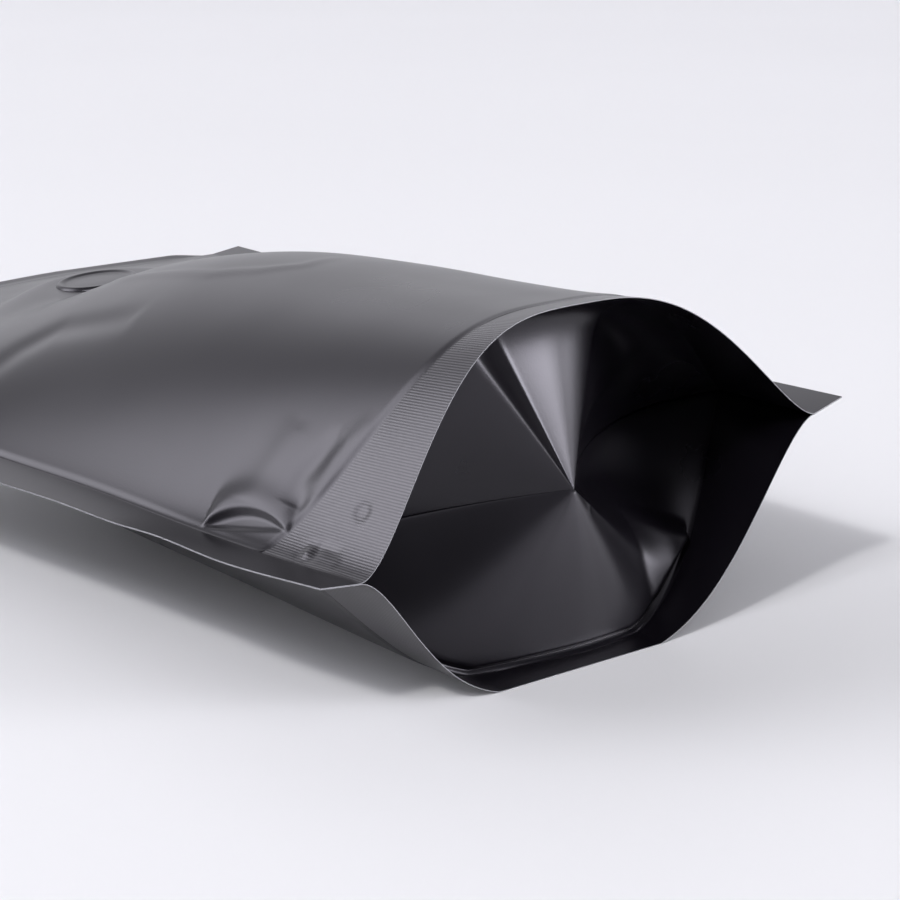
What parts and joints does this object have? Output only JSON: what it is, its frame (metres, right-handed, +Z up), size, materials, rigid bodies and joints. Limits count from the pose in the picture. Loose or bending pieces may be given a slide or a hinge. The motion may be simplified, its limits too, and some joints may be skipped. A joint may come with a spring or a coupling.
{
  "type": "coffee bag with valve",
  "caption": "Empty matt black stand-up coffee bag lying on its back, puffed with air, with a folded-in bottom gusset and a one-way degassing valve in its front panel.",
  "frame": {"origin": "on the floor under the middle of the bag, the centre of the bottom of its box", "axes": "+X across the bag to its right edge, +Y along the bag from the bottom gusset to the mouth, +Z up through the front panel"},
  "size_m": [0.1597, 0.229, 0.0698],
  "materials": {
    "film": "matt laminated film, softly wrinkled, with a faint sheen",
    "valve_film": "matt film drawn over a moulded valve ring"
  },
  "bodies": {
    "root": {"pouch": "film", "degassing_valve": "valve_film"}
  },
  "joints": []
}
